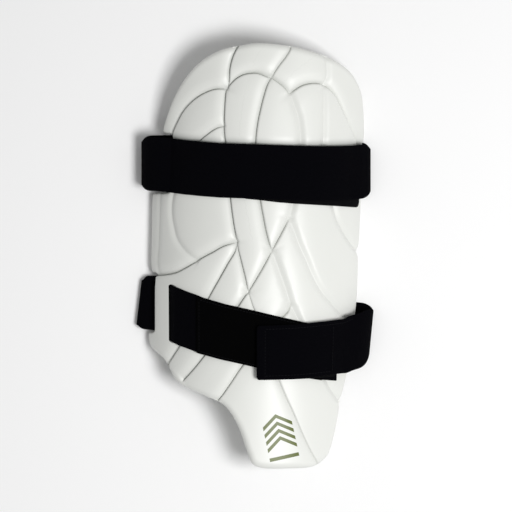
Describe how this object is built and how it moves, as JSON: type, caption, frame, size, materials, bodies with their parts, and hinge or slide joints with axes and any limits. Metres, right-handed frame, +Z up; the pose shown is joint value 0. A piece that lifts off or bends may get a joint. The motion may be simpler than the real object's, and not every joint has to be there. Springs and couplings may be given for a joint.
{
  "type": "cricket thigh guard",
  "caption": "Moulded foam thigh guard with an arched hollow back, creased panels and elastic straps closed round it with hook and loop.",
  "frame": {"origin": "on the table, under the middle of the whole guard as it lies on its back", "axes": "+X to the right as the front is seen, +Y from the tongue to the rounded top end, +Z up, out of the front face"},
  "size_m": [0.2226, 0.3994, 0.0702],
  "materials": {
    "foam_shell": "satin moulded skin",
    "elastic": "woven elastic",
    "loop_tape": "brushed loop pile",
    "hook_tape": "hook tape"
  },
  "bodies": {
    "root": {"pad": "foam_shell", "upper_strap": "elastic", "upper_hook_tape": "hook_tape", "lower_strap": "elastic", "lower_loop_tape": "loop_tape", "lower_hook_tape": "hook_tape"}
  },
  "joints": []
}
